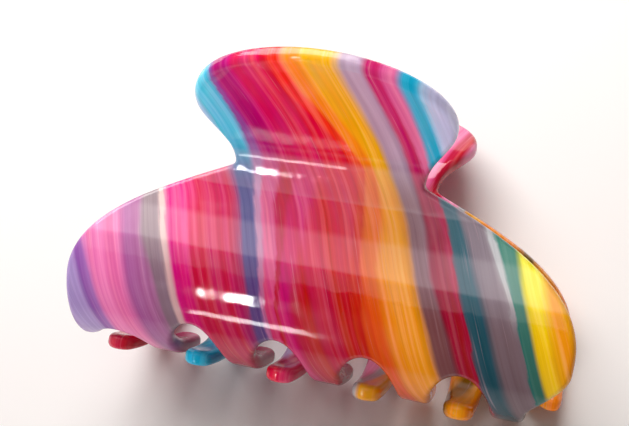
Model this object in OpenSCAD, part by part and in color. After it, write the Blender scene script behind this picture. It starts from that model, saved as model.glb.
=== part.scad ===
// Claw hair clip: two identical bent-sheet jaws on a sprung hinge, lying on its back jaw.
// Sheet coordinates: x along the hinge, s along the bent sheet (0 at the waist, + up the handle).
// Clip coordinates: x along the hinge, y from the front jaw to the back jaw, z up the handles.
// Each piece is built in clip coordinates, then lie() lays it down on z = 0, handles toward +y.

/* [Clip] */
// which piece to show
// scale of the jaw outline along the hinge
length_scale = 1; // [0.95:0.01:1.05]
// thickness of the acetate sheet
sheet_t = 3.2; // [2.8:0.1:3.4]
// how round the sheet's edges are
edge_r = 1.3; // [0.6:0.1:1.4]

/* [Outline] */
// sheet position of the handle's top
handle_top = 29.95; // [28.5:0.05:30.5]
// sheet position of the handle's widest row
handle_wide = 12.5; // [11:0.1:14]
// half width of the handle
handle_half = 25.2; // [24:0.1:26]
// sheet position of the waist
waist_s = -2.3; // [-2.8:0.1:-1.8]
// half width of the waist
waist_w = 19.3; // [18.5:0.1:20.5]
// how square the notch at the waist is
notch_pull = 1.15; // [0.8:0.05:1.6]
// how full the shoulder is
shoulder_pull = 17; // [15:0.5:19]
// half width of the body
body_half = 50.5; // [50:0.1:51]
// sheet position where the body is widest
body_s = -29.6; // [-31:0.2:-28]

/* [Teeth] */
// spacing of the teeth on one jaw
tooth_pitch = 17.9; // [17.6:0.1:18]
// half width of a tooth where the arch ends
tooth_hw = 3.4; // [3:0.1:3.5]
// half width of a tooth near its tip
tip_hw = 2.9; // [2.6:0.1:3]
// sheet position of the arches between the teeth
arch_top = -36.6; // [-37.4:0.2:-35.8]
// sheet position of the tooth tips
tip_s = -62.5; // [-63.5:0.5:-61]

/* [Hinge] */
// half distance between the two sheets' middle planes at the waist
waist_half = 10.1; // [9.8:0.1:10.6]
// height of the pin relative to the waist
pin_z = -3; // [-4:0.5:-2]
// pin radius
pin_r = 1; // [0.9:0.05:1.1]
// radial running clearance in the turning ears
pin_clear = 0.05; // [0.02:0.01:0.08]
// thickness of the stamped plates
plate_t = 0.8; // [0.6:0.1:0.9]
// half length of the stamped plates along the hinge
plate_hx = 12; // [11.5:0.5:14]
// wire radius of the spring
wire_r = 0.5; // [0.4:0.05:0.55]
// mean radius of the spring's coil
coil_r = 2.9; // [2.7:0.1:3]

/* [Hidden] */
ACETATE = [0.86, 0.25, 0.45];
PLATE_METAL = [0.78, 0.78, 0.8];
PIN_METAL = [0.7, 0.7, 0.72];
SPRING_METAL = [0.6, 0.6, 0.63];
half_t = sheet_t / 2;

// ---- shared curves
function clamp(t) = max(0, min(1, t));
function mix(from, to, t) = from + (to - from) * t;
function smooth(t) = let (u = clamp(t)) u * u * (3 - 2 * u);
// quarter circle: 1 up to t = 0, falling to 0 at t = 1
function quarter(t) = sqrt(1 - pow(clamp(t), 2));
function bezier(t, a, b, c, d) = let (u = 1 - t)
    pow(u, 3) * a + 3 * u * u * t * b + 3 * u * t * t * c + pow(t, 3) * d;

// ---- side profile of the front sheet, as [y, z]
// [s, lean of the sheet from vertical in degrees, outward going up]
LEAN = [
    [-70, 98], [-61, 94], [-52, 84], [-44, 60], [-36, 27], [-28, -6], [-20, -20],
    [-12, -21], [-4, 3], [4, 46.5], [12, 58.5], [20, 62.5], [31, 61.5]
];
function lean(s) = lookup(s, LEAN);
// the middle plane is integrated from the waist both ways, in equal steps
walk_step = 0.25;
function walk(end, step, s = 0, points = [[-waist_half, 0]]) = s == end ? points :
    let (angle = lean(s + step / 2), next = points[len(points) - 1] + step * [-sin(angle), cos(angle)])
    walk(end, step, s + step, concat(points, [next]));
WALK_UP = walk(31, walk_step);
WALK_DOWN = walk(-69, -walk_step);
function profile(s) =
    let (steps = abs(s) / walk_step, i = floor(steps), points = s >= 0 ? WALK_UP : WALK_DOWN)
    mix(points[i], points[min(i + 1, len(points) - 1)], steps - i);
// point on the front sheet at s, offset outward from the middle plane
function at(s, out) = profile(s) - out * [cos(lean(s)), sin(lean(s))];
// the same point on the back sheet
function back_at(s, out) = let (p = at(s, out)) [-p[0], p[1]];

// ---- outline rows, from the handle's top down
body_taper = 0.2;
low_half = body_half - body_taper;
// rows down to the arches' tops, as [half width, s]
UPPER = concat(
    // short flat at the very top
    [[0.9, handle_top]],
    // elliptical handle top
    [for (a = [10:8:90])
        [handle_half * sin(a), handle_wide + (handle_top - handle_wide) * cos(a)]],
    // eased flank down to the waist
    [for (t = [0.1:0.1:1.001])
        [mix(handle_half, waist_w, smooth(t)), mix(handle_wide, waist_s, t)]],
    // swept shoulder out to the body
    [for (t = [0.06:0.047:1.001])
        bezier(t, [waist_w, waist_s], [waist_w, waist_s - notch_pull],
            [body_half, body_s + shoulder_pull], [body_half, body_s])],
    [for (t = [0.25:0.25:1]) [body_half - body_taper * t, mix(body_s, arch_top, t)]]
);
arch_rise = 9;
arch_low = arch_top - arch_rise;
// the lobe is the short stub left of the first tooth, beyond the corner arch
lobe_top = -42.4;
lobe_end = -47;
lobe_arch_rise = 4;
lobe_arch_half = 4.9;
tip_centre = tip_s + tip_hw;
ARCH_S = [for (a = [12:15:75]) arch_low + arch_rise * cos(a)];
LOBE_S = [for (a = [0:18:54])
    lobe_top + (lobe_end + 0.2 - lobe_top) * (1 - cos(a)) / (1 - cos(54)) * 0.82];
ROW_S = concat(
    [for (row = UPPER) row[1]],
    ARCH_S,
    [(ARCH_S[len(ARCH_S) - 1] + lobe_top) / 2],
    LOBE_S,
    [lobe_end],
    [for (i = [1:7]) mix(lobe_end, tip_centre, i / 7)],
    [for (a = [22, 42, 60, 76, 87]) tip_centre - tip_hw * sin(a)]
);
rows = len(ROW_S);
arch_row = len(UPPER) - 1;                     // row at the arches' tops
lobe_row = len(UPPER) + len(ARCH_S) + 1;       // row at the corner arch's top
lobe_last = lobe_row + len(LOBE_S);            // last row of the corner lobe

// ---- columns: panel 0 is the lobe and panels 1 to 5 the teeth, from left (-x) to right.
// Panel p has its left edge in column 2p and its right edge in 2p + 1; gap g follows panel g.
panels = 6;
columns = 2 * panels;
first_tooth = -2 * tooth_pitch + tooth_pitch / 4;
last_tooth = 2 * tooth_pitch + tooth_pitch / 4;
// the body's lower left corner is rounded by a quarter ellipse
corner_s = -44;
corner_x = 2.6;
corner_drop = 3.6;
// the right edge eases in to the last tooth
ease_s = -32.5;
ease_drop = 11.5;
function gap_of(column) = floor((column - 1) / 2);
// above its top a gap is closed; the outer edges have no gap and are never closed
function closed(gap, row) =
    gap >= 0 && gap < panels - 1 && row <= (gap == 0 ? lobe_row : arch_row);
function last_row(panel) = panel == 0 ? lobe_last : rows - 1;
function half_width(row) = row < len(UPPER) ? UPPER[row][0] : low_half;
// tooth half width, with its round tip
function tooth_half(s) =
    mix(tooth_hw, tip_hw, clamp((arch_low - s) / (arch_low - tip_centre)))
    * quarter((tip_centre - s) / tip_hw);
function left_x(row) =
    corner_x * (1 - quarter((corner_s - ROW_S[row]) / corner_drop)) - half_width(row);
function right_x(row) = let (s = ROW_S[row])
    mix(half_width(row), half_width(row) - low_half + last_tooth + tooth_half(s),
        smooth((ease_s - s) / ease_drop));
// end of a gap, side -1 for its left and 1 for its right
function gap_x(gap, row, side) =
    let (s = ROW_S[row], centre = first_tooth + (gap - 0.5) * tooth_pitch,
        half = gap == 0 && side < 0 ? lobe_arch_half : tooth_pitch / 2 - tooth_half(s),
        rise = gap == 0 ? lobe_arch_rise : arch_rise,
        top = gap == 0 ? lobe_top : arch_top)
    closed(gap, row) ? centre * half_width(row) / low_half :
    centre + side * half * quarter((s - top + rise) / rise);
function column_x(row, column) =
    column == 0 ? left_x(row) :
    column == columns - 1 ? right_x(row) :
    gap_x(gap_of(column), row, column % 2 == 0 ? 1 : -1);

// ---- rounded edges
// layers through the sheet from inner to outer face, as [offset outward, inset of the edge]
LAYERS = [for (a = [-90, -45, -12, 12, 45, 90])
    [sign(a) * (half_t - edge_r) + edge_r * sin(a), edge_r * (1 - cos(a))]];
outer = len(LAYERS) - 1;
// share of the sideways inset used near the tips and the lobe's end
end_inset = 0.55;
// how far the edge faces sideways (1 on a side, 0 on a top or an apex)
function sideways(row, column) = closed(gap_of(column), row) ? 0 :
    let (above = max(row - 1, 0),
        below = row < last_row(floor(column / 2)) ? row + 1 : row,
        dx = column_x(below, column) - column_x(above, column),
        ds = ROW_S[below] - ROW_S[above],
        length = norm([dx, ds]))
    length > 0 ? abs(ds) / length : 1;
// how far a row moves in when the edge is rounded: down at the top, up at arches and tips
function row_shift(s) = smooth((-33 - s) / 3) - smooth((s - 22) / 8);
function inset_x(row, column, inset) =
    let (near_end = row >= rows - 3 || (column <= 1 && row >= lobe_last),
        inward = column % 2 == 0 ? 1 : -1)
    column_x(row, column)
    + inward * inset * sideways(row, column) * (near_end ? end_inset : 1);
function jaw_point(layer, row, column) =
    let (inset = layer[1], s = ROW_S[row], p = at(s + inset * row_shift(s), layer[0]))
    [inset_x(row, column, inset) * length_scale, p[0], p[1]];

// ---- jaw mesh
JAW_POINTS = [for (layer = LAYERS) for (row = [0:rows - 1]) for (column = [0:columns - 1])
    jaw_point(layer, row, column)];
// index of a point; both ends of a closed gap share one point
function index(layer, row, column) = (layer * rows + row) * columns
    + (column % 2 == 0 && closed(gap_of(column), row) ? column - 1 : column);
function quad(a, b, c, d) = [[c, b, a], [d, c, a]];
// edge strip between two neighbouring layers, from one [row, column] to another
function wall(layer, from, to) = quad(
    index(layer, from[0], from[1]), index(layer, to[0], to[1]),
    index(layer + 1, to[0], to[1]), index(layer + 1, from[0], from[1]));
// open edges of a panel: its top and bottom ends, then its sides where the gaps are open
function panel_edges(panel) =
    let (left = 2 * panel, right = left + 1, last = last_row(panel))
    concat(
        [[[0, right], [0, left]], [[last, left], [last, right]]],
        [for (k = [0:last - 1]) if (!closed(panel - 1, k + 1)) [[k, left], [k + 1, left]]],
        [for (k = [0:last - 1]) if (!closed(panel, k + 1)) [[k + 1, right], [k, right]]]
    );
JAW_TRIANGLES = concat(
    // inner and outer faces
    [for (panel = [0:panels - 1]) for (k = [0:last_row(panel) - 1])
        let (left = 2 * panel, right = left + 1)
        each concat(
            quad(index(0, k, left), index(0, k, right),
                index(0, k + 1, right), index(0, k + 1, left)),
            quad(index(outer, k, right), index(outer, k, left),
                index(outer, k + 1, left), index(outer, k + 1, right)))],
    [for (panel = [0:panels - 1]) for (edge = panel_edges(panel)) for (layer = [0:outer - 1])
        each wall(layer, edge[0], edge[1])]
);
// shared points leave some triangles without area
JAW_FACES = [for (t = JAW_TRIANGLES) if (t[0] != t[1] && t[1] != t[2] && t[0] != t[2]) t];
module jaw() {
    polyhedron(points = JAW_POINTS, faces = JAW_FACES, convexity = 8);
}

// ---- resting pose: the clip lies on its back handle's edge and on whatever reaches lowest
// at the other end
HANDLE_POINTS = concat(
    [for (s = [10.5:0.5:28.5]) back_at(s, half_t)],
    [for (a = [0:10:90])
        back_at(handle_top - edge_r * (1 - cos(a)), half_t - edge_r + edge_r * sin(a))]
);
TOOTH_POINTS = concat(
    [for (s = [tip_s + 0.5:0.5:-0.5]) back_at(s, half_t)],
    [for (s = [tip_s + 0.5:0.5:-50]) for (out = [-half_t, half_t]) at(s, out)]
);
function reach(points, angle) = max([for (p = points) p[0] * cos(angle) - p[1] * sin(angle)]);
// bisection for the angle where both ends reach equally low
function solve(low, high, left) = let (middle = (low + high) / 2)
    left == 0 ? middle :
    reach(HANDLE_POINTS, middle) > reach(TOOTH_POINTS, middle) ?
        solve(middle, high, left - 1) : solve(low, middle, left - 1);
tilt = solve(0, 45, 24);
// both jaws in the lying pose, to put the origin under the clip's middle
BOTH_JAWS = [for (p = JAW_POINTS) for (side = [-1, 1]) [side * p[1], p[2]]];
LYING_Y = [for (p = BOTH_JAWS) p[0] * sin(tilt) + p[1] * cos(tilt)];
LYING_Z = [for (p = BOTH_JAWS) -p[0] * cos(tilt) + p[1] * sin(tilt)];
module lie() {
    translate([0, -(max(LYING_Y) + min(LYING_Y)) / 2, -min(LYING_Z)])
        rotate([tilt - 90, 0, 0]) children();
}

// ---- hinge plates: a strip bent to the inside of the waist, with two ears and four prongs
plate_low = -9;
plate_high = 0;
plate_gap = 0.01;        // between the plate and the sheet
ear_r = 2.3;
ear_low = -7.5;
ear_high = -1;
front_ear_x = 8.7;
back_ear_x = 9.8;
prong = [1.2, 1.9, 1];
prong_inset = 1;         // from the plate's end
prong_sink = 0.3;        // prong's root, measured in from the sheet's inner face
// extrudes a [y, z] shape along x
module along_x(start, length) {
    translate([start, 0, 0]) rotate([90, 0, 90]) linear_extrude(length) children();
}
module ear(bore_r) {
    difference() {
        union() {
            polygon([at(ear_low, -half_t - plate_t / 2), [0, pin_z - ear_r],
                [0, pin_z + ear_r], at(ear_high, -half_t - plate_t / 2)]);
            translate([0, pin_z]) circle(r = ear_r, $fn = 64);
        }
        translate([0, pin_z]) circle(r = bore_r, $fn = 96);
    }
}
module plate(ear_x, bore_r) {
    along_x(-plate_hx, 2 * plate_hx) polygon(concat(
        [for (s = [plate_low:1:plate_high]) at(s, -half_t - plate_gap)],
        [for (s = [plate_high:-1:plate_low]) at(s, -half_t - plate_t)]));
    for (side = [-1, 1]) along_x(side * ear_x - plate_t / 2, plate_t) ear(bore_r);
    for (side = [-1, 1]) for (s = [-7.2, -2.2]) let (root = at(s, -half_t - prong_sink))
        translate([side * (plate_hx - prong_inset), root[0], root[1]])
            rotate([-lean(s), 0, 0])
                translate([-prong[0] / 2, -prong[1], -prong[2] / 2]) cube(prong);
}

// ---- hinge pin with a head at each end
pin_length = 23.4;
head_x = 11.6;
head_r = 1.7;
head_t = 0.8;
module pin() {
    translate([0, 0, pin_z]) rotate([0, 90, 0]) {
        cylinder(r = pin_r, h = pin_length, center = true, $fn = 96);
        for (side = [-1, 1]) translate([0, 0, side * head_x])
            cylinder(r = head_r, h = head_t, center = true, $fn = 64);
    }
}

// ---- spring: coil round the pin, one leg against each handle
leg_s = 14;
leg_gap = 0.06;          // between the leg and the handle
coil_hx = 7.2;
turns = 9;
turn_points = 18;
wire_sides = 10;
leg_end = at(leg_s, -half_t - wire_r - leg_gap);
leg_reach = leg_end - [0, pin_z];
// angle round the pin where the leg leaves the coil as a tangent
leg_angle = atan2(-leg_reach[0], leg_reach[1]) + asin(coil_r / norm(leg_reach));
coil_angle = 360 * turns - (180 - 2 * leg_angle);
coil_steps = ceil(coil_angle / 360 * turn_points);
COIL = [for (i = [0:coil_steps]) let (t = i / coil_steps, angle = leg_angle - t * coil_angle)
    [mix(-coil_hx, coil_hx, t), coil_r * cos(angle), coil_r * sin(angle) + pin_z]];
front_leg = [-coil_hx, leg_end[0], leg_end[1]];
back_leg = [coil_hx, -leg_end[0], leg_end[1]];
SPRING_PATH = concat([front_leg, (front_leg + COIL[0]) / 2], COIL,
    [(back_leg + COIL[coil_steps]) / 2, back_leg]);
function unit(v) = v / norm(v);
// round wire along a path
module wire(path, radius) {
    last = len(path) - 1;
    sides = [0:wire_sides - 1];
    points = [for (i = [0:last])
        let (along = unit(path[min(i + 1, last)] - path[max(i - 1, 0)]),
            across = unit([1, 0, 0] - along * along[0]),
            normal = cross(along, across))
        for (j = sides) let (angle = 360 * j / wire_sides)
            path[i] + radius * (cos(angle) * across + sin(angle) * normal)];
    faces = concat(
        [[for (j = sides) j]],
        [[for (j = sides) (last + 1) * wire_sides - 1 - j]],
        [for (i = [0:last - 1]) for (j = sides)
            let (a = i * wire_sides + j, b = i * wire_sides + (j + 1) % wire_sides)
            each [[b + wire_sides, b, a], [a + wire_sides, b + wire_sides, a]]]);
    polyhedron(points = points, faces = faces, convexity = 12);
}

// ---- pieces; the back ones are front ones turned half round
module turned() { rotate([0, 0, 180]) children(); }
module front_jaw() { color(ACETATE) lie() jaw(); }
module back_jaw() { color(ACETATE) lie() turned() jaw(); }
// the front plate turns on the pin
module front_hinge_plate() { color(PLATE_METAL) lie() plate(front_ear_x, pin_r + pin_clear); }
module back_hinge_plate() { color(PLATE_METAL) lie() turned() plate(back_ear_x, pin_r); }
module hinge_pin() { color(PIN_METAL) lie() pin(); }
module torsion_spring() { color(SPRING_METAL) lie() wire(SPRING_PATH, wire_r); }

front_jaw();
back_jaw();
front_hinge_plate();
back_hinge_plate();
hinge_pin();
torsion_spring();
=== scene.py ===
"""Claw hair clip of striped acetate: two bent jaws, hinge plates, pin and torsion spring.

Clip coordinates, in mm: x runs along the hinge, -y is out of the front jaw, +z is up the handles.
Sheet coordinates, in mm: x, s up the bent sheet from the waist, and an offset outward from its
middle. In the frame, in metres, the clip lies on its back jaw on z = 0, handles toward +Y.
"""
import math

import bmesh
import bpy
import numpy as np
from mathutils import Matrix, Vector
from mathutils.geometry import delaunay_2d_cdt


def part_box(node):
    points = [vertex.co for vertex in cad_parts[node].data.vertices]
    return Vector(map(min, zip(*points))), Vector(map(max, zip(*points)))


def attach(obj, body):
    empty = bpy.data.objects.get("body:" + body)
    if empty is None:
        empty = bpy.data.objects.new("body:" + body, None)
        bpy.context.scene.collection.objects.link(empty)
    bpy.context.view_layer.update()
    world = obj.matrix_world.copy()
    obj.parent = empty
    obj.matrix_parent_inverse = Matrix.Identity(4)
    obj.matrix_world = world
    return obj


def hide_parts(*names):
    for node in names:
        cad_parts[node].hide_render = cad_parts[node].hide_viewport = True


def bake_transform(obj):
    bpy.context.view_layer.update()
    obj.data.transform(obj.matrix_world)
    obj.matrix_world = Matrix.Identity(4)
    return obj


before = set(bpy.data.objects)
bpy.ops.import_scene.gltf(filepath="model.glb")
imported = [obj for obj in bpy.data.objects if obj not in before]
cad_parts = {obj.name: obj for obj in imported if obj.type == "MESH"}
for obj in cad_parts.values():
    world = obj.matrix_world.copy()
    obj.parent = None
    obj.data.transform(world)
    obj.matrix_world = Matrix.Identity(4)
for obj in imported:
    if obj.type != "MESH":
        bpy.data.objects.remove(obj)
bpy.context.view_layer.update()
scene = bpy.context.scene
MM = 0.001

# ---------------------------------------------------------------- sizes, mm
SHEET_T, EDGE_R = 3.2, 1.3
HALF_T = SHEET_T / 2

HANDLE_TOP, HANDLE_WIDE_S, HANDLE_HALF = 29.95, 12.5, 25.2
WAIST_S, WAIST_W = -2.3, 19.3
NOTCH_PULL, SHOULDER_PULL = 1.15, 17.0  # reach of the shoulder curve's handles
BODY_HALF, BODY_S = 50.5, -29.6
LOW_HALF = BODY_HALF - 0.2

PITCH, TOOTH_HW, TIP_HW = 17.9, 3.4, 2.9
ARCH_TOP = -36.6
ARCH_LOW = ARCH_TOP - 9
TIP_S = -62.5
TIP_CENTRE = TIP_S + TIP_HW
TOOTH_X = np.array([(m - 3) * PITCH + PITCH / 4 for m in range(1, 6)])
GAP_HALF = PITCH / 2 - TOOTH_HW
DRAW_IN_S, DRAW_IN_LENGTH = -32.5, 11.5  # where the +x edge runs in to the last tooth

LOBE_RISE = 4
LOBE_SPRING_S = -42.4 - LOBE_RISE
LOBE_HW, LOBE_END = 4.9, -47.0
LOBE_EDGE_S = -44.0  # the lobe's outer edge is straight above this

WAIST_DEPTH, PIN_Z = 10.1, -3.0
WIRE_R, COIL_R, COIL_HALF, TURNS = 0.5, 2.9, 7.2, 9
LEG_S, LEG_GAP = 14.0, 0.06  # where the spring legs end, and how far off the sheet

# ---------------------------------------------------------------- the bent sheet
# s, outward lean from upright in degrees
LEAN = np.array([
    [-70, 98], [-61, 94], [-52, 84], [-44, 60], [-36, 27], [-28, -6], [-20, -20],
    [-12, -21], [-4, 3], [4, 46.5], [12, 58.5], [20, 62.5], [31, 61.5]], float)


def lean(s):
    return np.radians(np.interp(s, LEAN[:, 0], LEAN[:, 1]))


def walk(end):
    """s, depth and height of the sheet's middle in small steps from the waist to s = end"""
    count = int(round(abs(end) / 0.25))
    step = 0.25 if end > 0 else -0.25
    s = np.arange(count + 1) * step
    angle = lean(s[:-1] + step / 2)
    depth = WAIST_DEPTH + np.r_[0, np.cumsum(step * np.sin(angle))]
    height = np.r_[0, np.cumsum(step * np.cos(angle))]
    return s, depth, height


PATH_S, PATH_DEPTH, PATH_HEIGHT = (
    np.r_[down[::-1], up[1:]] for down, up in zip(walk(-69), walk(31)))


def profile(s, offset):
    """depth and height of a point of the sheet"""
    angle = lean(s)
    return (np.interp(s, PATH_S, PATH_DEPTH) + offset * np.cos(angle),
            np.interp(s, PATH_S, PATH_HEIGHT) - offset * np.sin(angle))


def sheet(x, s, offset, back=False):
    """clip point, outward normal and up-sheet tangent at a sheet point"""
    x, s, offset = np.broadcast_arrays(*(np.asarray(v, float) for v in (x, s, offset)))
    angle = lean(s)
    depth, height = profile(s, offset)
    zero = 0 * angle
    point = np.stack([x, -depth, height], -1)
    normal = np.stack([zero, -np.cos(angle), -np.sin(angle)], -1)
    tangent = np.stack([zero, -np.sin(angle), np.cos(angle)], -1)
    if back:
        half_turn = np.array([-1.0, -1.0, 1.0])
        return point * half_turn, normal * half_turn, tangent * half_turn
    return point, normal, tangent


# ---------------------------------------------------------------- the lying pose
def resting_tilt():
    """tilt in degrees at which the handle top and the lower clip touch the floor together"""
    span = np.arange(TIP_S + 0.5, 28.51, 0.5)
    teeth = np.arange(TIP_S + 0.5, -49.99, 0.5)
    back_y, back_z = profile(span, HALF_T)
    inner_y, inner_z = profile(teeth, -HALF_T)
    outer_y, outer_z = profile(teeth, HALF_T)
    rim = np.radians(np.arange(0, 91, 10))
    rim_y, rim_z = profile(HANDLE_TOP - EDGE_R * (1 - np.cos(rim)),
                           HALF_T - EDGE_R + EDGE_R * np.sin(rim))
    below, above = span < 0, span > 10
    low_y = np.r_[back_y[below], -inner_y, -outer_y]
    low_z = np.r_[back_z[below], inner_z, outer_z]
    top_y, top_z = np.r_[back_y[above], rim_y], np.r_[back_z[above], rim_z]

    least, most = 0.0, 45.0
    for _ in range(24):
        tilt = math.radians((least + most) / 2)
        c, s = math.cos(tilt), math.sin(tilt)
        if (top_y * c - top_z * s).max() > (low_y * c - low_z * s).max():
            least = math.degrees(tilt)
        else:
            most = math.degrees(tilt)
    return (least + most) / 2


_turn = math.radians(resting_tilt() - 90)
TURN = np.array([[1, 0, 0],
                 [0, math.cos(_turn), -math.sin(_turn)],
                 [0, math.sin(_turn), math.cos(_turn)]])
# the CAD pin fixes where the clip sits
pin_lo, pin_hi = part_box("hinge_pin")
SHIFT = np.array((pin_lo + pin_hi) / 2) / MM - TURN @ np.array([0, 0, PIN_Z])


def to_frame(points):
    """clip mm to frame metres"""
    return (np.asarray(points) @ TURN.T + SHIFT) * MM


def turn_to_frame(directions):
    return np.asarray(directions) @ TURN.T


# ---------------------------------------------------------------- outline, in sheet x, s
def ease(t):
    t = np.clip(t, 0, 1)
    return t * t * (3 - 2 * t)


def bezier(t, a, b, c, d):
    return (1 - t) ** 3 * a + 3 * (1 - t) ** 2 * t * b + 3 * (1 - t) * t * t * c + t ** 3 * d


def arc(x, s, radius_x, radius_s, degrees):
    angle = np.radians(degrees)
    return np.c_[x + radius_x * np.cos(angle), s + radius_s * np.sin(angle)]


def side_curve():
    """+x edge from the handle's top centre down to the arch tops"""
    angle = np.radians(np.linspace(0, 90, 90))
    cap = np.c_[HANDLE_HALF * np.sin(angle),
                HANDLE_WIDE_S + (HANDLE_TOP - HANDLE_WIDE_S) * np.cos(angle)]
    t = np.linspace(0, 1, 60)[1:]
    flank = np.c_[HANDLE_HALF - (HANDLE_HALF - WAIST_W) * ease(t),
                  HANDLE_WIDE_S + (WAIST_S - HANDLE_WIDE_S) * t]
    t = np.linspace(0, 1, 220)[1:]
    shoulder = np.c_[bezier(t, WAIST_W, WAIST_W, BODY_HALF, BODY_HALF),
                     bezier(t, WAIST_S, WAIST_S - NOTCH_PULL, BODY_S + SHOULDER_PULL, BODY_S)]
    t = np.linspace(0, 1, 24)[1:]
    edge = np.c_[BODY_HALF - (BODY_HALF - LOW_HALF) * t, BODY_S + (ARCH_TOP - BODY_S) * t]
    return np.r_[cap, flank, shoulder, edge]


def tooth_half_width(s):
    taper = np.clip((ARCH_LOW - s) / (ARCH_LOW - TIP_CENTRE), 0, 1)
    straight = TOOTH_HW + (TIP_HW - TOOTH_HW) * taper
    drop = np.clip((TIP_CENTRE - s) / TIP_HW, -1, 1)
    return np.where(s < TIP_CENTRE, straight * np.sqrt(np.maximum(0, 1 - drop ** 2)), straight)


def teeth():
    """the five teeth and the arches between them, from +x to -x"""
    parts = []
    up = np.linspace(TIP_CENTRE, ARCH_LOW, 60)
    down = np.linspace(ARCH_LOW, TIP_CENTRE, 60)
    for m in (4, 3, 2, 1, 0):
        x = TOOTH_X[m]
        parts.append(arc(x, TIP_CENTRE, TIP_HW, -TIP_HW, np.linspace(0, 180, 49)[1:-1]))
        parts.append(np.c_[x - tooth_half_width(up), up])
        if m > 0:
            parts.append(arc(x - PITCH / 2, ARCH_LOW, GAP_HALF, ARCH_TOP - ARCH_LOW,
                             np.linspace(0, 180, 73)[1:-1]))
            parts.append(np.c_[TOOTH_X[m - 1] + tooth_half_width(down), down])
    parts[-1] = parts[-1][parts[-1][:, 1] < LOBE_SPRING_S]
    return parts


def corner_lobe():
    """the lower -x corner: a small arch, then a rounded lobe up to the arch tops"""
    x = TOOTH_X[0] - PITCH / 2
    inner = arc(x, LOBE_SPRING_S, GAP_HALF, LOBE_RISE, np.linspace(0, 90, 30))
    outer = arc(x, LOBE_SPRING_S, LOBE_HW, LOBE_RISE, np.linspace(90, 143, 20)[1:])
    s = np.linspace(LOBE_EDGE_S, LOBE_END + 0.6, 14)
    rounding = 1 - np.sqrt(np.maximum(0, 1 - ((LOBE_EDGE_S - s) / 3.6) ** 2))
    edge = np.c_[-(LOW_HALF - 2.6 * rounding), s]
    start, foot = outer[-1], edge[-1]
    pull = np.array([(start[0] + foot[0]) / 2 - 0.3, LOBE_END - 0.55])
    t = np.linspace(0, 1, 16)[1:-1, None]
    bottom = (1 - t) ** 2 * start + 2 * (1 - t) * t * pull + t * t * foot
    s = np.linspace(LOBE_EDGE_S, ARCH_TOP, 16)[1:-1]
    return [inner, outer, bottom, edge[::-1], np.c_[np.full(len(s), -LOW_HALF), s]]


def outline():
    """the whole outline, clockwise from the handle's top centre"""
    side = side_curve()
    s = np.linspace(ARCH_TOP, TIP_CENTRE, 90)[1:]
    right = np.r_[side, np.c_[np.full(len(s), LOW_HALF), s]]
    right[:, 0] -= ((LOW_HALF - TOOTH_X[4] - tooth_half_width(right[:, 1]))
                    * ease((DRAW_IN_S - right[:, 1]) / DRAW_IN_LENGTH))
    left = side[::-1] * (-1, 1)
    return np.concatenate([right, *teeth(), *corner_lobe(), left[:-1]])


def resample(points, step):
    loop = np.r_[points, points[:1]]
    length = np.r_[0, np.cumsum(np.linalg.norm(np.diff(loop, axis=0), axis=1))]
    keep = np.r_[True, np.diff(length) > 1e-6]
    loop, length = loop[keep], length[keep]
    count = int(length[-1] / step)
    t = np.arange(count) * length[-1] / count
    return np.c_[np.interp(t, length, loop[:, 0]), np.interp(t, length, loop[:, 1])]


def soften(loop, rounds):
    for _ in range(rounds):
        loop = 0.25 * np.roll(loop, 1, 0) + 0.5 * loop + 0.25 * np.roll(loop, -1, 0)
    return loop


def unit(vectors):
    return vectors / np.linalg.norm(vectors, axis=1)[:, None]


def inside(polygon, points):
    """which points lie inside the polygon, by counting crossings"""
    result = np.zeros(len(points), bool)
    for a, b in zip(polygon, np.roll(polygon, -1, 0)):
        hit = (a[1] > points[:, 1]) != (b[1] > points[:, 1])
        if hit.any():
            crossing = a[0] + (points[:, 1] - a[1]) * (b[0] - a[0]) / (b[1] - a[1])
            result ^= hit & (points[:, 0] < crossing)
    return result


def grid_fill(rim, pitch):
    """staggered grid inside the rim, clear of its points"""
    xs = np.arange(-50, 50.01, pitch)
    ss = np.arange(-66, 30.01, pitch)
    grid = np.array([[x + (pitch / 2 if j % 2 else 0), s] for j, s in enumerate(ss) for x in xs])
    grid = grid[inside(rim, grid)]
    near = np.full(len(grid), 1e9)
    for x, s in rim[::2]:
        near = np.minimum(near, (grid[:, 0] - x) ** 2 + (grid[:, 1] - s) ** 2)
    return grid[near > (0.55 * pitch) ** 2]


def triangulate(rim, fill):
    """counterclockwise triangles over the rim points, then the fill points"""
    points = np.r_[rim, fill]
    edges = [(i, (i + 1) % len(rim)) for i in range(len(rim))]
    made, _, faces, sources, _, _ = delaunay_2d_cdt(
        [Vector(p) for p in points.tolist()], edges, [], 1, 1e-7)
    assert len(made) == len(points), "the face triangulation added points"
    source = np.array([s[0] for s in sources])
    tris = np.array([[source[i] for i in face] for face in faces])
    a, b, c = (points[tris[:, k]] for k in range(3))
    area = ((b[:, 0] - a[:, 0]) * (c[:, 1] - a[:, 1])
            - (c[:, 0] - a[:, 0]) * (b[:, 1] - a[:, 1]))
    tris[area < 0] = tris[area < 0][:, ::-1]
    return tris[np.abs(area) > 1e-9]


# reversed to run counterclockwise, so that inward is to the left of travel
OUT = soften(resample(outline(), 0.4), 2)[::-1]
_along = unit(np.roll(OUT, -1, 0) - np.roll(OUT, 1, 0))
INWARD = unit(soften(np.c_[-_along[:, 1], _along[:, 0]], 1))
RIM = OUT + EDGE_R * INWARD
FILL = grid_fill(RIM, 0.9)
TRIS = triangulate(RIM, FILL)

# ---------------------------------------------------------------- stripes
STATION_S = np.array([30.0, 20, 0, -10, -20, -30, -45, -66])
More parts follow.
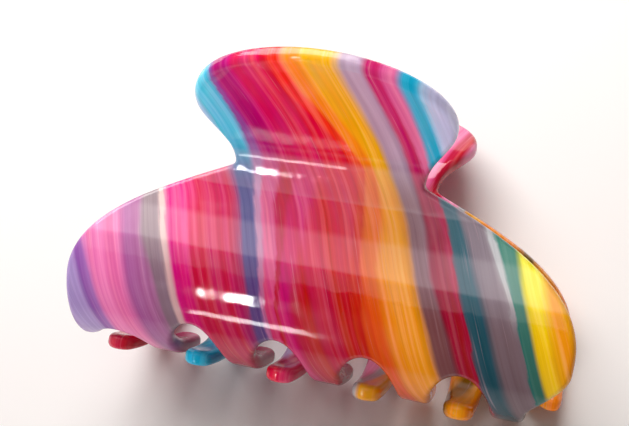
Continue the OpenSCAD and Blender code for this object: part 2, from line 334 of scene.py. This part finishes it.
# x of each boundary between front stripes (rows) at the stations (columns)
FRONT_BOUNDS = np.array([
    [-66.5, -64, -59, -56, -53, -47, -41, -38.5],
    [-62.5, -60, -56, -53, -50, -44.5, -38.5, -36],
    [-54.5, -52, -48, -44, -40, -37, -31, -28.5],
    [-48.5, -46, -42, -38.5, -36, -30, -24, -21.5],
    [-42.5, -40, -38, -34.9, -31.3, -26.8, -20.8, -18.3],
    [-41.5, -39, -37, -33.9, -30.3, -25.6, -19.6, -17.1],
    [-36.5, -34, -31, -27, -24.5, -22, -16, -13.5],
    [-27.5, -25.5, -21, -17, -14, -10.3, -5.3, -2.8],
    [-20.2, -19, -15.5, -13.7, -10.3, -7.4, -2, 0.5],
    [-19.6, -18.3, -13.6, -12.6, -9.4, -6.8, -1.3, 1.2],
    [-15.5, -13.7, -9.5, -9.7, -6.2, -4.6, 1, 3.5],
    [-11, -9, -6, -7, -5.6, -4.2, 1.5, 4],
    [-8.8, -7, -1, -2, -2, -2, 4, 6.5],
    [-7.2, -5.3, 6.2, 7.2, 8.2, 10.9, 16.5, 19],
    [-4.4, -2, 7.6, 8.6, 10, 12.7, 18.4, 20.9],
    [-1.2, 1.3, 9.6, 12.2, 13.5, 17.5, 23.5, 26],
    [5, 7.4, 12.7, 17, 20.3, 24.7, 30.7, 33.2],
    [9.4, 11.8, 16.8, 20.5, 23.2, 28.8, 34.8, 37.3],
    [11.9, 14.2, 19.6, 24.2, 27.5, 31.8, 37.6, 40.1],
    [14.6, 17, 20.4, 24.7, 28, 32.1, 38, 40.5],
    [17.6, 20, 23.8, 28, 32, 36.3, 42.3, 44.8],
    [24.5, 27, 29, 32.2, 37.2, 41, 47, 49.5],
    [25.2, 27.6, 29.8, 33.2, 37.6, 41.3, 47.4, 49.9],
    [28.5, 31, 34, 37.4, 40, 43.8, 50, 52.5],
    [33.5, 36, 39, 42, 43.8, 46.3, 52.5, 55],
])
# stripe colours from -x to +x, sRGB 0-255; the handle's are partly painted light and the low ones
# partly painted shade
FRONT_HANDLE_WITH_PAINTED_LIGHT = [
    (200, 180, 225), (150, 100, 170), (225, 110, 170), (150, 60, 130), (165, 150, 150),
    (240, 220, 210), (228, 80, 140), (215, 190, 230), (70, 208, 232), (150, 84, 160),
    (186, 36, 122), (220, 16, 108), (226, 22, 100), (226, 20, 66), (246, 84, 56),
    (255, 156, 44), (255, 200, 48), (190, 172, 200), (206, 20, 108), (240, 130, 184),
    (54, 192, 226), (220, 218, 248), (226, 224, 232), (110, 160, 155), (255, 215, 70),
    (245, 160, 40)]
FRONT_BODY = [
    (196, 176, 222), (176, 124, 190), (246, 148, 194), (184, 118, 168), (166, 152, 156),
    (240, 220, 212), (236, 90, 154), (214, 24, 96), (104, 112, 162), (214, 166, 202),
    (236, 120, 166), (212, 14, 84), (230, 76, 134), (226, 4, 86), (226, 74, 26),
    (243, 122, 20), (255, 176, 34), (152, 124, 136), (176, 20, 82), (190, 50, 100),
    (62, 112, 126), (150, 136, 146), (206, 208, 210), (72, 142, 132), (255, 242, 84),
    (248, 188, 38)]
# low down the same stripes are darker: painted shade where the jaw curves under toward the teeth
FRONT_LOW_WITH_PAINTED_SHADE = [
    (180, 160, 208), (162, 112, 182), (244, 138, 188), (176, 112, 160), (136, 116, 128),
    (214, 180, 176), (210, 56, 124), (196, 14, 84), (96, 84, 132), (190, 120, 160),
    (214, 84, 134), (190, 8, 72), (206, 56, 112), (196, 2, 68), (206, 66, 12),
    (230, 106, 8), (248, 164, 24), (124, 88, 92), (166, 12, 66), (170, 40, 84),
    (22, 92, 102), (128, 110, 114), (130, 114, 120), (14, 116, 110), (252, 206, 44),
    (240, 172, 30)]
# the back stripes are straight: x of each boundary at s = 0, and their colours
BACK_X = np.array([-52, -44.6, -41.5, -31, -27.2, -25.4, -21.5, -18.4, -14.2, -6.4, -3.2,
                   2.4, 11.6, 14.6, 20.6, 30, 34, 40])
BACK_BOUNDS = BACK_X[:, None] - 0.25 * STATION_S
BACK_COLOURS = [
    (246, 150, 40), (240, 152, 46), (120, 96, 52), (238, 140, 40), (226, 160, 60),
    (168, 166, 172), (236, 150, 186), (196, 18, 72), (232, 112, 160), (214, 20, 84),
    (190, 160, 196), (110, 140, 180), (40, 172, 208), (120, 160, 175), (150, 96, 150),
    (196, 18, 74), (226, 96, 150), (180, 160, 210), (120, 190, 205)]
OUTER_BAND = 6  # width given to the first and last bands
# s, sideways shift that makes the streaks follow the stripes
SLANT = np.array([[-66, -20.9], [-45, -18.4], [-30, -12.1], [-20, -7.9], [-10, -4.4],
                  [0, 0], [20, 4.9], [30, 7.4]])


def band_number(x, s, bounds):
    """continuous band number: the band's index plus the share of the way across it"""
    edges = np.stack([np.interp(s, STATION_S[::-1], b[::-1]) for b in bounds])
    low = np.r_[edges[:1] - OUTER_BAND, edges]
    high = np.r_[edges, edges[-1:] + OUTER_BAND]
    band = (x[None] > edges).sum(0)
    k = np.arange(len(x))
    width = np.maximum(high[band, k] - low[band, k], 1e-3)
    return band + np.clip((x - low[band, k]) / width, 0, 0.9999)


# ---------------------------------------------------------------- jaws
def smooth_mesh(name, points, faces):
    mesh = bpy.data.meshes.new(name)
    mesh.from_pydata(points.tolist(), [], faces)
    mesh.validate()
    mesh.polygons.foreach_set("use_smooth", np.ones(len(mesh.polygons), bool))
    mesh.update()
    return mesh


def add_object(name, data):
    ob = bpy.data.objects.new(name, data)
    scene.collection.objects.link(ob)
    return ob


EDGE_ANGLES = np.radians(np.arange(-90, 91, 12))  # inner face, round the edge, outer face


def slab_points():
    """sheet x, s, offset and normal of every vertex: the edge rings, inner fill, outer fill"""
    points, offsets, normals = [], [], []
    for angle in EDGE_ANGLES:
        side = 1 if angle > 0 else -1
        points.append(OUT + EDGE_R * (1 - math.cos(angle)) * INWARD)
        offset = (HALF_T - EDGE_R) * side + EDGE_R * math.sin(angle)
        offsets.append(np.full(len(OUT), offset))
        normals.append(np.c_[-INWARD * math.cos(angle), np.full(len(OUT), math.sin(angle))])
    for side in (-1, 1):
        points.append(FILL)
        offsets.append(np.full(len(FILL), side * HALF_T))
        normals.append(np.tile([0, 0, side], (len(FILL), 1)))
    points = np.concatenate(points)
    return points[:, 0], points[:, 1], np.concatenate(offsets), np.concatenate(normals)


def slab_faces():
    """edge quads, inner triangles and outer triangles"""
    count, rings = len(OUT), len(EDGE_ANGLES)
    i = np.arange(count)
    j = (i + 1) % count
    quads = [np.c_[k * count + i, k * count + j, (k + 1) * count + j, (k + 1) * count + i]
             for k in range(rings - 1)]
    fill_start = rings * count
    inner = np.where(TRIS < count, TRIS, TRIS - count + fill_start)[:, ::-1]
    outer = np.where(TRIS < count, TRIS + (rings - 1) * count,
                     TRIS - count + fill_start + len(FILL))
    return np.concatenate(quads), inner, outer


def make_jaw(name, back, bounds):
    x, s, offset, slab_normal = slab_points()
    quads, inner, outer = slab_faces()
    point, normal, tangent = sheet(x, s, offset, back)
    across = np.array([-1.0 if back else 1.0, 0, 0])
    places = to_frame(point)
    normals = turn_to_frame(slab_normal[:, :1] * across + slab_normal[:, 1:2] * tangent
                            + slab_normal[:, 2:3] * normal)
    faces = [tuple(f) for part in (quads, inner, outer) for f in part.tolist()]
    mesh = smooth_mesh(name, places, faces)
    # the outer face must look along its outward normal
    a, b, c = places[outer[0]]
    if np.cross(b - a, c - a) @ normals[outer[0][0]] < 0:
        mesh.flip_normals()
    mesh.update()
    mesh.normals_split_custom_set_from_vertices([tuple(n) for n in normals.tolist()])
    values = {
        "band": band_number(x, s, bounds),
        "sheet_p": x + np.interp(s, SLANT[:, 0], SLANT[:, 1]),
        "sheet_s": s,
        "sheet_x": x,
        "sheet_o": offset,
    }
    for key, value in values.items():
        attribute = mesh.attributes.new(key, "FLOAT", "POINT")
        attribute.data.foreach_set("value", value.astype(np.float32))
    return add_object(name, mesh)


front = make_jaw("front_jaw_acetate", False, FRONT_BOUNDS)
back = make_jaw("back_jaw_acetate", True, BACK_BOUNDS)


# ---------------------------------------------------------------- node helpers
class Graph:
    """builds the node tree of a material or world"""

    def __init__(self, owner):
        owner.use_nodes = True
        self.tree = owner.node_tree
        self.tree.nodes.clear()

    def add(self, kind, inputs=None, **settings):
        node = self.tree.nodes.new("ShaderNode" + kind)
        for key, value in settings.items():
            setattr(node, key, value)
        for key, value in (inputs or {}).items():
            if isinstance(value, bpy.types.NodeSocket):
                self.tree.links.new(value, node.inputs[key])
            else:
                node.inputs[key].default_value = value
        return node

    def math(self, operation, a, b=0.0):
        return self.add("Math", {0: a, 1: b}, operation=operation).outputs[0]

    def times(self, a, b):
        return self.math("MULTIPLY", a, b)

    def attribute(self, name):
        return self.add("Attribute", attribute_name=name).outputs["Fac"]

    def object_place(self):
        return self.add("TexCoord").outputs["Object"]

    def fade(self, value, start, end, low=0.0, high=1.0, smooth=True):
        """low to high as value runs from start to end"""
        inputs = {"Value": value, "From Min": start, "From Max": end,
                  "To Min": low, "To Max": high}
        kind = "SMOOTHSTEP" if smooth else "LINEAR"
        return self.add("MapRange", inputs, interpolation_type=kind).outputs["Result"]

    def vector(self, x, y, z):
        return self.add("CombineXYZ", {0: x, 1: y, 2: z}).outputs[0]

    def noise(self, vector, scale=1.0, detail=2.0, roughness=0.5):
        inputs = {"Vector": vector, "Scale": scale, "Detail": detail, "Roughness": roughness}
        return self.add("TexNoise", inputs).outputs["Fac"]

    def mix(self, factor, a, b, blend="MIX"):
        inputs = {0: factor, 6: a, 7: b}
        return self.add("Mix", inputs, data_type="RGBA", blend_type=blend).outputs[2]

    def tint(self, factor, colour, tint):
        return self.mix(factor, colour, self.mix(1.0, colour, tint, "MULTIPLY"))

    def bump(self, height, strength, distance):
        inputs = {"Strength": strength, "Distance": distance, "Height": height}
        return self.add("Bump", inputs).outputs[0]

    def output(self, shader, kind="Material"):
        self.add("Output" + kind, {"Surface": shader.outputs[0]})


class SheetGraph(Graph):
    """a graph with the jaws' sheet coordinates at hand"""

    def __init__(self, owner, seed):
        super().__init__(owner)
        self.seed = seed
        self.p, self.s, self.x, self.band = (
            self.attribute(key) for key in ("sheet_p", "sheet_s", "sheet_x", "band"))

    def streaks(self, across, along, shift, detail=2.0, roughness=0.5):
        """noise in stripe coordinates, with its frequencies across and along the stripes"""
        place = self.vector(self.times(self.p, across), self.times(self.s, along),
                            self.seed + shift)
        return self.noise(place, detail=detail, roughness=roughness)


# ---------------------------------------------------------------- acetate
VEIL, GAIN = 0.035, 1.08  # white that the skin's reflection adds, and the gain after removing it
PALE_LINE, CLOUD = (0.95, 0.62, 0.68, 1), (0.9, 0.85, 0.88, 1)
DEEP_LINE = (0.70, 0.62, 0.70, 1)
# tints of the pale zones, a painted reflection haze, and of the deep zones, painted shade
PAINTED_HAZE_TINT, PAINTED_SHADE_TINT = (0.92, 0.84, 0.90, 1), (0.62, 0.50, 0.60, 1)
TIP_CRIMSON = (0.30, 0.004, 0.045, 1)
# level zones of painted light across the front jaw: low s, high s, strength (pale above zero, a
# painted reflection haze; deep below, painted shade)
FRONT_PAINTED_LIGHT_ZONES = [(-7.6, 1.0, 0.12), (-14.8, -7.6, -0.10), (-21.6, -14.8, 0.10), (-56, -21.8, -0.38)]


def stripe_rgba(colour):
    """sRGB 0-255 to linear, less the veil"""
    shares = [v / 255 for v in colour]
    linear = [v / 12.92 if v <= 0.04045 else ((v + 0.055) / 1.055) ** 2.4 for v in shares]
    return tuple([max(0.0015, (v - VEIL) * GAIN) for v in linear] + [1.0])


def colour_ramp(graph, position, colours):
    node = graph.add("ValToRGB", {0: position})
    ramp = node.color_ramp
    ramp.elements.remove(ramp.elements[-1])
    ramp.elements[0].position = 0.5 / len(colours)
    ramp.elements[0].color = stripe_rgba(colours[0])
    for i, colour in enumerate(colours[1:], 1):
        ramp.elements.new((i + 0.5) / len(colours)).color = stripe_rgba(colour)
    ramp.interpolation = "LINEAR"
    return node.outputs[0]


def stripe_colour(graph, ramps):
    """soft-edged bands that wander a little, as poured colour does"""
    wander = graph.streaks(across=0.35, along=0.045, shift=0.0, detail=3.0, roughness=0.6)
    band = graph.math("ADD", graph.band, graph.times(graph.math("SUBTRACT", wander, 0.5), 0.35))
    from_middle = graph.math("SUBTRACT", band, 0.5)
    whole = graph.math("FLOOR", from_middle)
    part = graph.math("SUBTRACT", from_middle, whole)
    stepped = graph.math("ADD", whole, graph.fade(part, 0.24, 0.76))
    position = graph.math("DIVIDE", graph.math("ADD", stepped, 0.5), float(len(ramps[0])))
    colours = [colour_ramp(graph, position, ramp) for ramp in ramps]
    if len(colours) == 1:
        return colours[0]
    # the handle's copy of the stripes is lightened with painted light, the low copy darkened with
    # painted shade
    handle, body, low = colours
    upper = graph.mix(graph.fade(graph.s, -7.0, 7.0), body, handle)
    return graph.mix(graph.fade(graph.s, -17.0, -29.0), upper, low)


def add_streaks(graph, colour):
    """streaks of three widths drawn out along the stripes, and a milky cloud"""
    wide = graph.streaks(across=0.42, along=0.012, shift=3.1, roughness=0.55)
    mid = graph.streaks(across=0.95, along=0.02, shift=7.7, roughness=0.6)
    fine = graph.streaks(across=2.6, along=0.03, shift=12.3, roughness=0.6)
    colour = graph.add("HueSaturation", {
        "Hue": graph.fade(wide, 0.25, 0.75, low=0.485, high=0.515, smooth=False),
        "Saturation": graph.fade(mid, 0.3, 0.7, low=1.10, high=0.92, smooth=False),
        "Value": graph.fade(mid, 0.3, 0.7, low=0.86, high=1.12, smooth=False),
        "Color": colour,
    }).outputs[0]
    # fine pale lines, broken along their length, and a few deep ones
    breaks = graph.streaks(across=0.4, along=0.08, shift=21.0, detail=1.0)
    pale = graph.times(graph.fade(fine, 0.60, 0.74), graph.fade(breaks, 0.42, 0.62))
    colour = graph.mix(graph.times(pale, 0.26), colour, PALE_LINE)
    colour = graph.tint(graph.times(graph.fade(fine, 0.40, 0.27), 0.4), colour, DEEP_LINE)
    cloud = graph.streaks(across=0.12, along=0.05, shift=31.0, detail=3.0, roughness=0.55)
    return graph.mix(graph.fade(cloud, 0.5, 0.8, high=0.06), colour, CLOUD)


def add_painted_zones_and_tips(graph, colour, zones):
    """pale level zones of painted reflection haze, deep level zones of painted shade, and crimson
    tips on the teeth toward -x
    """
    place = graph.vector(graph.times(graph.x, 0.05), 0.0, graph.seed + 40.0)
    sway = graph.times(graph.math("SUBTRACT", graph.noise(place, detail=1.0), 0.5), 2.0)
    level = graph.math("ADD", graph.math("ADD", graph.s, sway), graph.times(graph.x, 0.012))
    for low, high, strength in zones:
        zone = graph.times(graph.fade(level, low - 0.35, low + 0.35),
                           graph.fade(level, high + 0.9, high - 0.9))
        # pale zones paint a reflection haze, deep zones paint shade
        if strength > 0:
            colour = graph.mix(graph.times(zone, strength), colour, PAINTED_HAZE_TINT)
        else:
            colour = graph.tint(graph.times(zone, -strength), colour, PAINTED_SHADE_TINT)
    tips = graph.times(graph.fade(graph.s, -45.0, -51.0), graph.fade(graph.x, 17.0, 12.0))
    return graph.mix(graph.times(tips, 0.78), colour, TIP_CRIMSON)


def acetate_surface(graph, colour):
    """glossy skin, uneven in polish and faintly wavy, over a slab that glows from behind"""
    smear = graph.noise(graph.object_place(), scale=90.0, detail=4.0, roughness=0.6)
    haze = graph.fade(smear, 0.35, 0.75, low=0.07, high=0.17)
    wave = graph.noise(graph.vector(graph.times(graph.x, 0.16), graph.times(graph.s, 0.16),
                                    graph.attribute("sheet_o")))
    scratches = graph.noise(graph.vector(graph.times(graph.x, 0.8), graph.times(graph.s, 9.0),
                                         graph.seed + 50.0), detail=3.0, roughness=0.7)
    height = graph.math("ADD", wave, graph.times(scratches, 0.004))
    normal = graph.bump(height, strength=1.0, distance=0.00012)
    skin = graph.add("BsdfPrincipled", {
        "Base Color": colour,
        "IOR": 1.49,
        "Roughness": haze,
        "Subsurface Weight": 0.22,
        "Subsurface Radius": (1.0, 0.75, 0.7),
        "Subsurface Scale": 0.0015,
        "Coat Weight": 0.4,
        "Coat Roughness": 0.03,
        "Coat IOR": 1.5,
        "Normal": normal,
        "Coat Normal": normal,
    })
    lifted = graph.add("Gamma", {"Color": colour, "Gamma": 0.7}).outputs[0]
    glow = graph.add("BsdfTranslucent", {"Color": lifted})
    return graph.add("MixShader", {0: 0.24, 1: skin.outputs[0], 2: glow.outputs[0]})


def acetate(name, ramps, seed, zones=()):
    material = bpy.data.materials.new(name)
    graph = SheetGraph(material, seed)
    colour = add_streaks(graph, stripe_colour(graph, ramps))
    if zones:
        colour = add_painted_zones_and_tips(graph, colour, zones)
    graph.output(acetate_surface(graph, colour))
    return material


# the front jaw also gets the zones of painted reflection haze and painted shade
front.data.materials.append(acetate(
    "striped_acetate_front", [FRONT_HANDLE_WITH_PAINTED_LIGHT, FRONT_BODY, FRONT_LOW_WITH_PAINTED_SHADE], seed=1.0, zones=FRONT_PAINTED_LIGHT_ZONES))
back.data.materials.append(acetate("striped_acetate_back", [BACK_COLOURS], seed=5.0))

# ---------------------------------------------------------------- steel
DRAWN, EVEN = (60, 2600, 2600), (900, 900, 900)  # grain frequency: long along x, or alike


def steel(name, tint, roughness, shift, grain_scale=DRAWN):
    material = bpy.data.materials.new(name)
    graph = Graph(material)
    place = graph.object_place()
    mapping = graph.add("Mapping", {"Vector": place, "Scale": grain_scale,
                                    "Location": (shift, shift, shift)})
    grain = graph.noise(mapping.outputs[0], detail=3.0, roughness=0.6)
    patch = graph.noise(place, scale=160.0, detail=3.0, roughness=0.55)
    dark = tuple(v * 0.72 for v in tint) + (1,)
    warm = (tint[0] * 0.98, tint[1] * 0.93, tint[2] * 0.84, 1)
    colour = graph.mix(graph.fade(grain, 0.3, 0.7), dark, tint + (1,))
    colour = graph.mix(graph.fade(patch, 0.52, 0.72, high=0.6), colour, warm)
    wear = graph.math("ADD", graph.times(grain, 0.6), graph.times(patch, 0.4))
    graph.output(graph.add("BsdfPrincipled", {
        "Base Color": colour,
        "Metallic": 1.0,
        "Roughness": graph.fade(wear, 0.3, 0.7, low=roughness * 0.75, high=roughness * 1.5),
        "Normal": graph.bump(grain, strength=0.35, distance=0.00003),
    }))
    return material


plate_steel = steel("plate_steel_polished", tint=(0.72, 0.72, 0.74), roughness=0.22, shift=3.0)
pin_steel = steel("pin_steel_drawn", tint=(0.66, 0.66, 0.68), roughness=0.18, shift=9.0)
wire_steel = steel("spring_steel_wire", tint=(0.56, 0.57, 0.60), roughness=0.26, shift=15.0,
                   grain_scale=EVEN)


# ---------------------------------------------------------------- spring
def spring_path():
    """leg up the front jaw at -x, the coil round the pin, leg up the back jaw at +x"""
    point, _, _ = sheet(0.0, LEG_S, -HALF_T - WIRE_R - LEG_GAP)
    leg_y, leg_rise = float(point[1]), float(point[2]) - PIN_Z
    start = (math.degrees(math.atan2(-leg_y, leg_rise))
             + math.degrees(math.asin(COIL_R / math.hypot(leg_y, leg_rise))))
    sweep = 360 * TURNS - (180 - 2 * start)
    t = np.linspace(0, 1, int(math.ceil(sweep / 360 * 40)) + 1)
    angle = np.radians(start - t * sweep)
    coil = np.c_[-COIL_HALF + 2 * COIL_HALF * t, COIL_R * np.cos(angle),
                 COIL_R * np.sin(angle) + PIN_Z]
    front_end = np.array([-COIL_HALF, leg_y, leg_rise + PIN_Z])
    back_end = np.array([COIL_HALF, -leg_y, leg_rise + PIN_Z])
    t = np.linspace(0, 1, 26)[:, None]
    return np.r_[front_end + (coil[0] - front_end) * t[:-1], coil,
                 coil[-1] + (back_end - coil[-1]) * t[1:]]


def tube(name, path, radius, sides=18):
    """closed tube with rounded ends along a path in clip mm"""
    along = unit(np.gradient(path, axis=0))
    u = unit(np.array([1.0, 0, 0]) - along * along[:, :1])
    v = np.cross(along, u)
    caps = [(radius * math.sin(a), radius * (1 - math.cos(a))) for a in np.radians([18, 42, 66])]
    # centre, radius and the two cross directions of each ring
    rings = [(path[0] + along[0] * inset, r, u[0], v[0]) for r, inset in caps]
    rings += [(path[k], radius, u[k], v[k]) for k in range(1, len(path) - 1)]
    rings += [(path[-1] - along[-1] * inset, r, u[-1], v[-1]) for r, inset in caps[::-1]]
    angles = np.arange(sides) * 2 * math.pi / sides
    points = [centre + r * (math.cos(a) * ru + math.sin(a) * rv)
              for centre, r, ru, rv in rings for a in angles]
    points += [path[0], path[-1]]
    faces = []
    for i in range(len(rings) - 1):
        for j in range(sides):
            a, b = i * sides + j, i * sides + (j + 1) % sides
            faces.append((a, b, b + sides, a + sides))
    last = (len(rings) - 1) * sides
    for j in range(sides):
        k = (j + 1) % sides
        faces.append((len(points) - 2, k, j))
        faces.append((len(points) - 1, last + j, last + k))
    return add_object(name, smooth_mesh(name, to_frame(np.array(points)), faces))


def face_outward(ob):
    bm = bmesh.new()
    bm.from_mesh(ob.data)
    bmesh.ops.recalc_face_normals(bm, faces=bm.faces)
    if bm.calc_volume(signed=True) < 0:
        bmesh.ops.reverse_faces(bm, faces=bm.faces)
    bm.to_mesh(ob.data)
    bm.free()


spring = tube("torsion_spring_wire", spring_path(), WIRE_R)
face_outward(spring)
spring.data.materials.append(wire_steel)


# ---------------------------------------------------------------- CAD steel parts
def dress_steel(node, material):
    """give a CAD part its steel and a fine bevel"""
    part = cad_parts[node]
    part.data.materials.clear()
    part.data.materials.append(material)
    bevel = part.modifiers.new("edge", "BEVEL")
    bevel.width = 0.00012
    bevel.segments = 2
    bevel.limit_method = "ANGLE"
    bevel.angle_limit = math.radians(40)
    bevel.harden_normals = True


dress_steel("front_hinge_plate", plate_steel)
dress_steel("back_hinge_plate", plate_steel)
dress_steel("hinge_pin", pin_steel)

# ---------------------------------------------------------------- riding on the bodies
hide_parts("front_jaw")
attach(front, "front_half")
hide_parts("back_jaw")
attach(back, "back_half")
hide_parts("torsion_spring")
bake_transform(spring)


# ---------------------------------------------------------------- floor and world
def make_floor(half=3):
    mesh = bpy.data.meshes.new("floor")
    corners = [(-half, -half, 0), (half, -half, 0), (half, half, 0), (-half, half, 0)]
    mesh.from_pydata(corners, [], [(0, 1, 2, 3)])
    floor = add_object("floor", mesh)
    material = bpy.data.materials.new("pale_floor")
    graph = Graph(material)
    mottle = graph.noise(graph.object_place(), scale=6.0, detail=3.0)
    graph.output(graph.add("BsdfPrincipled", {
        "Base Color": graph.mix(mottle, (0.935, 0.905, 0.89, 1), (0.955, 0.93, 0.915, 1)),
        "Roughness": 0.6,
        "Specular IOR Level": 0.25,
    }))
    mesh.materials.append(material)


def make_world():
    """warm light, dimmer overhead than at the horizon; the camera sees a paler backdrop"""
    world = bpy.data.worlds.new("studio")
    scene.world = world
    graph = Graph(world)
    incoming = graph.add("NewGeometry").outputs["Incoming"]
    rise = graph.add("SeparateXYZ", {0: incoming}).outputs["Z"]
    strength = graph.fade(rise, 0.0, -1.0, low=0.20, high=0.15, smooth=False)
    light = graph.add("Background", {"Color": (1.0, 0.84, 0.77, 1), "Strength": strength})
    seen = graph.add("Background", {"Color": (1.0, 0.985, 0.975, 1), "Strength": 0.85})
    is_camera = graph.add("LightPath").outputs["Is Camera Ray"]
    graph.output(graph.add("MixShader", {0: is_camera, 1: light.outputs[0],
                                         2: seen.outputs[0]}), "World")


make_floor()
make_world()

# ---------------------------------------------------------------- lights
# the camera is set in clip coordinates, so it keeps its place on the clip however that lies
CAM = Vector(to_frame([42.5846, -167.893, -7.82144]))
CAM_FORWARD = Vector(turn_to_frame([-0.268529, 0.963168, -0.0141254]))
CAM_RIGHT = Vector(turn_to_frame([0.952741, 0.267727, 0.143552]))
CAM_UP = Vector(turn_to_frame([-0.142047, -0.0250901, 0.989542]))


def area_light(name, place, rotation, size, power, colour=(1, 1, 1)):
    data = bpy.data.lights.new(name, "AREA")
    data.shape = "RECTANGLE"
    data.size, data.size_y = size
    data.energy = power
    data.color = colour
    light = add_object(name, data)
    light.location = place
    light.rotation_mode = "QUATERNION"
    light.rotation_quaternion = rotation
    light.visible_camera = False
    return light


def panel(name, place, target, size, power, **colour):
    """a light aimed at a target"""
    rotation = (Vector(target) - Vector(place)).to_track_quat("-Z", "Y")
    return area_light(name, place, rotation, size, power, **colour)


def window(name, x, s, size, radiance, spread, distance=0.30):
    """a light whose reflection falls at sheet point x, s for the camera; its width runs along
    the hinge, and radiance is what it shows on its axis, whatever its spread in degrees"""
    point, normal, _ = sheet(x, s, HALF_T)
    point, normal = Vector(to_frame(point)), Vector(turn_to_frame(normal))
    sight = (point - CAM).normalized()
    bounce = sight - 2 * sight.dot(normal) * normal
    z = bounce.normalized()
    x_axis = (Vector((1, 0, 0)) - z * z.x).normalized()
    rotation = Matrix((x_axis, z.cross(x_axis), z)).transposed().to_quaternion()
    half = math.radians(spread) / 2
    share = (math.tan(half) - half) / math.tan(half)
    light = area_light(name, point + bounce * distance, rotation, size,
                       radiance * share * math.pi * size[0] * size[1])
    light.visible_diffuse = False
    light.visible_transmission = False
    light.data.spread = math.radians(spread)


# soft key from beyond the handles, toward -x
panel("key", (-0.26, 0.50, 0.46), target=(0, 0, 0.02), size=(0.80, 0.56), power=8.6,
      colour=(1.0, 0.99, 0.98))
# the fill lights the clip alone, so the shadow on the floor keeps its depth
fill = panel("fill", (-0.22, -0.40, 0.38), target=(0, 0, 0.03), size=(0.5, 0.5), power=3.0,
             colour=(1.0, 0.99, 0.99))
fill.visible_glossy = False
receivers = bpy.data.collections.new("fill_receivers")
for ob in (front, back, spring, *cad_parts.values()):
    receivers.objects.link(ob)
fill.light_linking.receiver_collection = receivers
# broad panel overhead for the body's sheen
panel("top", (-0.12, 0.07, 0.52), target=(-0.12, 0.0699, 0.0), size=(0.62, 0.27), power=0.40)
window("window_body", x=-12.9, s=-29.6, size=(0.017, 0.075), radiance=90, spread=22)
window("window_line", x=-10, s=-33.4, size=(0.066, 0.034), radiance=16, spread=26)

# ---------------------------------------------------------------- camera
lens = bpy.data.cameras.new("camera")
lens.sensor_width = 36
lens.lens = 47.76
lens.clip_start = 0.005
camera = add_object("camera", lens)
pose = Matrix((CAM_RIGHT, CAM_UP, -CAM_FORWARD)).transposed().to_4x4()
pose.translation = CAM
camera.matrix_world = pose
scene.camera = camera
scene.view_settings.view_transform = "Standard"
scene.view_settings.look = "None"
